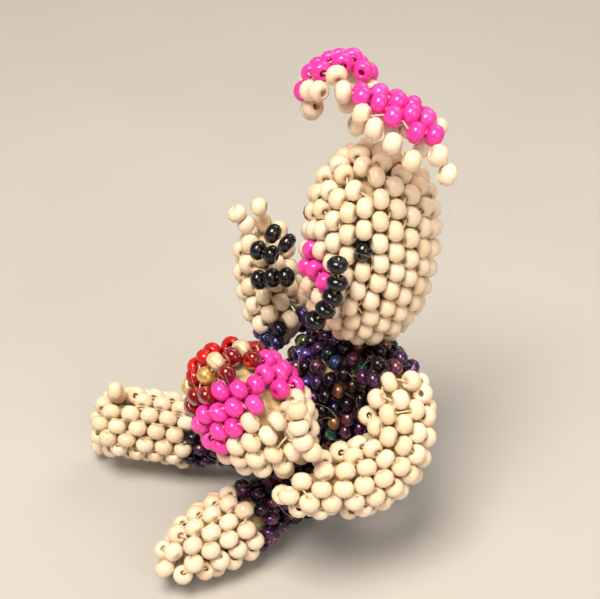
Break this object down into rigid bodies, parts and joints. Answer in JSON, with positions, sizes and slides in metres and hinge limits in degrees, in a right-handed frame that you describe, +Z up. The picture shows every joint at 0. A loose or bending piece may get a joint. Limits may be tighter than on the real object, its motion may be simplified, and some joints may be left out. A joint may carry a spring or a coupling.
{
  "type": "beaded rabbit figure",
  "caption": "Seated rabbit stitched from glass seed beads over stuffing, with a dark shirt, folded ears, one arm raised and a banded egg in the other.",
  "frame": {"origin": "lowest point of the seat, under the middle of the torso, on the surface that the figure sits on", "axes": "-Y the way the figure faces, +X towards its own left, +Z up"},
  "size_m": [0.0381, 0.0369, 0.0551],
  "materials": {
    "black_glass": "jet black glass, glossy",
    "bronze_iris_glass": "dark iris glass, bronze sheen",
    "gold_lined_glass": "clear glass with a silver-lined gold hole",
    "green_iris_glass": "dark iris glass, green sheen",
    "ivory_glass": "opaque ivory glass, glossy",
    "pink_glass": "opaque dyed pink glass, glossy",
    "plum_iris_glass": "dark iris glass, metallic purple sheen",
    "red_glass": "opaque red glass, glossy",
    "ruby_glass": "clear ruby glass",
    "stuffing_fibre": "cream cotton stuffing",
    "violet_iris_glass": "dark iris glass, blue violet sheen"
  },
  "bodies": {
    "torso": {"seat_beads": "plum_iris_glass", "shirt_beads_bronze": "bronze_iris_glass", "shirt_beads_green": "green_iris_glass", "shirt_beads_plum": "plum_iris_glass", "shirt_beads_violet": "violet_iris_glass", "torso_stuffing": "stuffing_fibre"},
    "head": {"eye_beads": "black_glass", "head_beads": "ivory_glass", "head_stuffing": "stuffing_fibre", "left_whisker_beads": "black_glass", "nose_beads": "pink_glass", "right_whisker_beads": "black_glass"},
    "left_arm": {"egg_gold_beads": "gold_lined_glass", "egg_ivory_beads": "ivory_glass", "egg_pink_beads": "pink_glass", "egg_red_beads": "red_glass", "egg_ruby_beads": "ruby_glass", "egg_stuffing": "stuffing_fibre", "left_arm_beads": "ivory_glass", "left_arm_stuffing": "stuffing_fibre", "left_sleeve_beads": "plum_iris_glass", "left_thumb_beads": "ivory_glass"},
    "right_arm": {"right_arm_beads": "ivory_glass", "right_arm_stuffing": "stuffing_fibre", "right_finger_beads": "ivory_glass", "right_sleeve_beads": "plum_iris_glass"},
    "left_leg": {"left_foot_beads": "ivory_glass", "left_leg_stuffing": "stuffing_fibre", "left_trouser_beads": "plum_iris_glass"},
    "right_leg": {"right_foot_beads": "ivory_glass", "right_leg_stuffing": "stuffing_fibre", "right_toe_beads": "ivory_glass", "right_trouser_beads": "plum_iris_glass"},
    "left_ear": {"left_ear_pink_beads": "pink_glass", "left_ear_rim_beads": "ivory_glass"},
    "right_ear": {"right_ear_pink_beads": "pink_glass", "right_ear_rim_beads": "ivory_glass"}
  },
  "joints": [
    {"name": "neck_turn", "type": "hinge", "parent": "torso", "child": "head", "pos_m": [0.0015, 0.0016, 0.022], "axis": [0, 0, 1], "range_deg": [-3, 12]},
    {"name": "left_shoulder", "type": "hinge", "parent": "torso", "child": "left_arm", "pos_m": [0.0084, 0.0019, 0.0206], "axis": [-1, 0, 0], "range_deg": [-6, 8]},
    {"name": "right_shoulder", "type": "hinge", "parent": "torso", "child": "right_arm", "pos_m": [-0.0062, -0.0018, 0.0192], "axis": [-1, 0, 0], "range_deg": [-10, 10]},
    {"name": "left_hip", "type": "hinge", "parent": "torso", "child": "left_leg", "pos_m": [0.003, -0.0066, 0.004], "axis": [-0.9798, -0.2, 0], "range_deg": [0, 10]},
    {"name": "right_hip", "type": "hinge", "parent": "torso", "child": "right_leg", "pos_m": [-0.0048, -0.0058, 0.0042], "axis": [-0.7828, 0.6222, 0], "range_deg": [-4, 8]},
    {"name": "left_ear_fold", "type": "hinge", "parent": "head", "child": "left_ear", "pos_m": [0.0025, 0.0045, 0.0452], "axis": [-0.6274, -0.727, 0.2789], "range_deg": [-8, 4]},
    {"name": "right_ear_fold", "type": "hinge", "parent": "head", "child": "right_ear", "pos_m": [-0.0021, 0.0058, 0.0448], "axis": [-0.8548, 0.4224, -0.3017], "range_deg": [-6, 6]}
  ]
}
